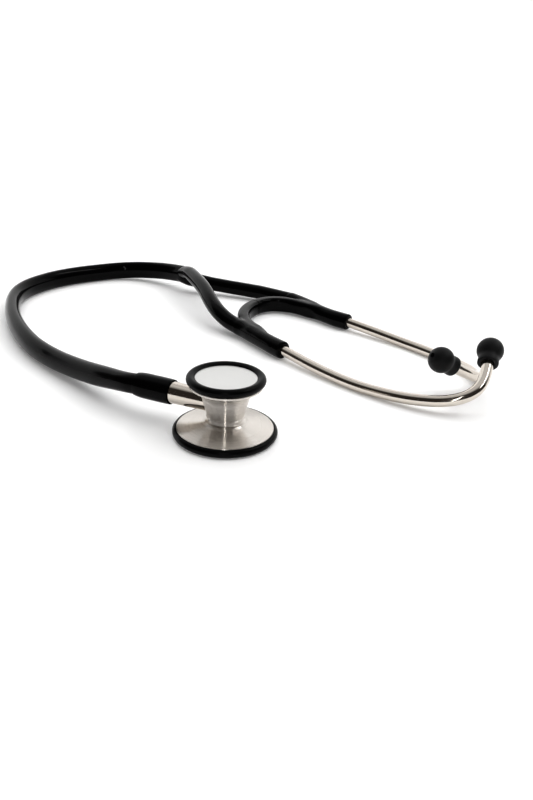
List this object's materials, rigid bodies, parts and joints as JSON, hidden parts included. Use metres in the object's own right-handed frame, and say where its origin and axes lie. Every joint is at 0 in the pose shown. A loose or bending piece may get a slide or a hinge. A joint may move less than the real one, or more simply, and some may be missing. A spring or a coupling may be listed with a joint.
{
  "type": "stethoscope",
  "caption": "Dual-head acoustic stethoscope lying flat, with a turning chest piece, dual-lumen tubing, a sprung yoke and angled ear tubes.",
  "frame": {"origin": "centre of the large diaphragm's outer face, which lies on the table", "axes": "-Z out of the large diaphragm's face and into the table; X and Y along the table, with the tubing leaving towards -X and the headset lying towards +X and +Y"},
  "size_m": [0.285, 0.2646, 0.031],
  "materials": {
    "brushed_steel": "fine turned brushing round the axis",
    "satin_silver": "satin",
    "polished_nickel": "mirror polished, slightly warm",
    "spring_steel": "plain drawn",
    "black_rim": "satin moulded",
    "black_tubing": "smooth, glossy",
    "soft_rubber": "matte, soft",
    "pale_diaphragm": "fine matte sheet"
  },
  "bodies": {
    "tubing": {"main_tube": "black_tubing", "tube_cuff": "black_tubing", "valve_stem": "polished_nickel", "stem_o_ring": "soft_rubber", "near_branch_tube": "black_tubing", "far_branch_tube": "black_tubing", "spring_cover": "black_tubing", "leaf_spring": "spring_steel"},
    "chestpiece": {"large_head": "brushed_steel", "barrel_body": "brushed_steel", "large_diaphragm": "pale_diaphragm", "large_rim": "black_rim", "small_diaphragm": "satin_silver", "small_rim": "black_rim", "detent_ball": "spring_steel", "detent_spring": "spring_steel", "detent_screw": "brushed_steel", "stem_retaining_clip": "spring_steel"},
    "near_arm": {"near_socket": "black_tubing"},
    "near_tube": {"near_ear_tube": "polished_nickel", "near_tip_adapter": "polished_nickel"},
    "near_tip": {"near_ear_tip": "soft_rubber"},
    "far_arm": {"far_socket": "black_tubing"},
    "far_tube": {"far_ear_tube": "polished_nickel", "far_tip_adapter": "polished_nickel"},
    "far_tip": {"far_ear_tip": "soft_rubber"}
  },
  "joints": [
    {"name": "chestpiece_turn", "type": "hinge", "parent": "tubing", "child": "chestpiece", "pos_m": [0, 0, 0.0142], "axis": [-0.9239, 0.3827, 0], "continuous": true},
    {"name": "near_spread", "type": "hinge", "parent": "tubing", "child": "near_arm", "pos_m": [0.007, 0.168, 0.0057], "axis": [0, 0, -1], "range_deg": [-2, 22], "stiffness_Nm_per_rad": 1.3, "deforming": ["spring_cover", "leaf_spring", "near_branch_tube", "far_branch_tube"]},
    {"name": "far_spread", "type": "hinge", "parent": "tubing", "child": "far_arm", "pos_m": [0.007, 0.168, 0.0057], "axis": [0, 0, 1], "range_deg": [-2, 22], "stiffness_Nm_per_rad": 1.3, "deforming": ["spring_cover", "leaf_spring", "near_branch_tube", "far_branch_tube"]},
    {"name": "near_tube_turn", "type": "hinge", "parent": "near_arm", "child": "near_tube", "pos_m": [0.0255, 0.0915, 0.0051], "axis": [0.6563, -0.7523, -0.0576], "range_deg": [-2, 25]},
    {"name": "far_tube_turn", "type": "hinge", "parent": "far_arm", "child": "far_tube", "pos_m": [0.0661, 0.1459, 0.0051], "axis": [-0.7726, 0.6323, 0.0576], "range_deg": [-3, 10]},
    {"name": "near_tip_turn", "type": "hinge", "parent": "near_tube", "child": "near_tip", "pos_m": [0.12417, 0.04768, 0.02019], "axis": [0.2799, 0.8278, 0.4862], "continuous": true},
    {"name": "far_tip_turn", "type": "hinge", "parent": "far_tube", "child": "far_tip", "pos_m": [0.11007, 0.0557, 0.01477], "axis": [-0.8186, -0.3058, 0.4862], "continuous": true}
  ],
  "couplings": [
    {"joint": "far_spread", "follows": "near_spread", "ratio": 1}
  ]
}
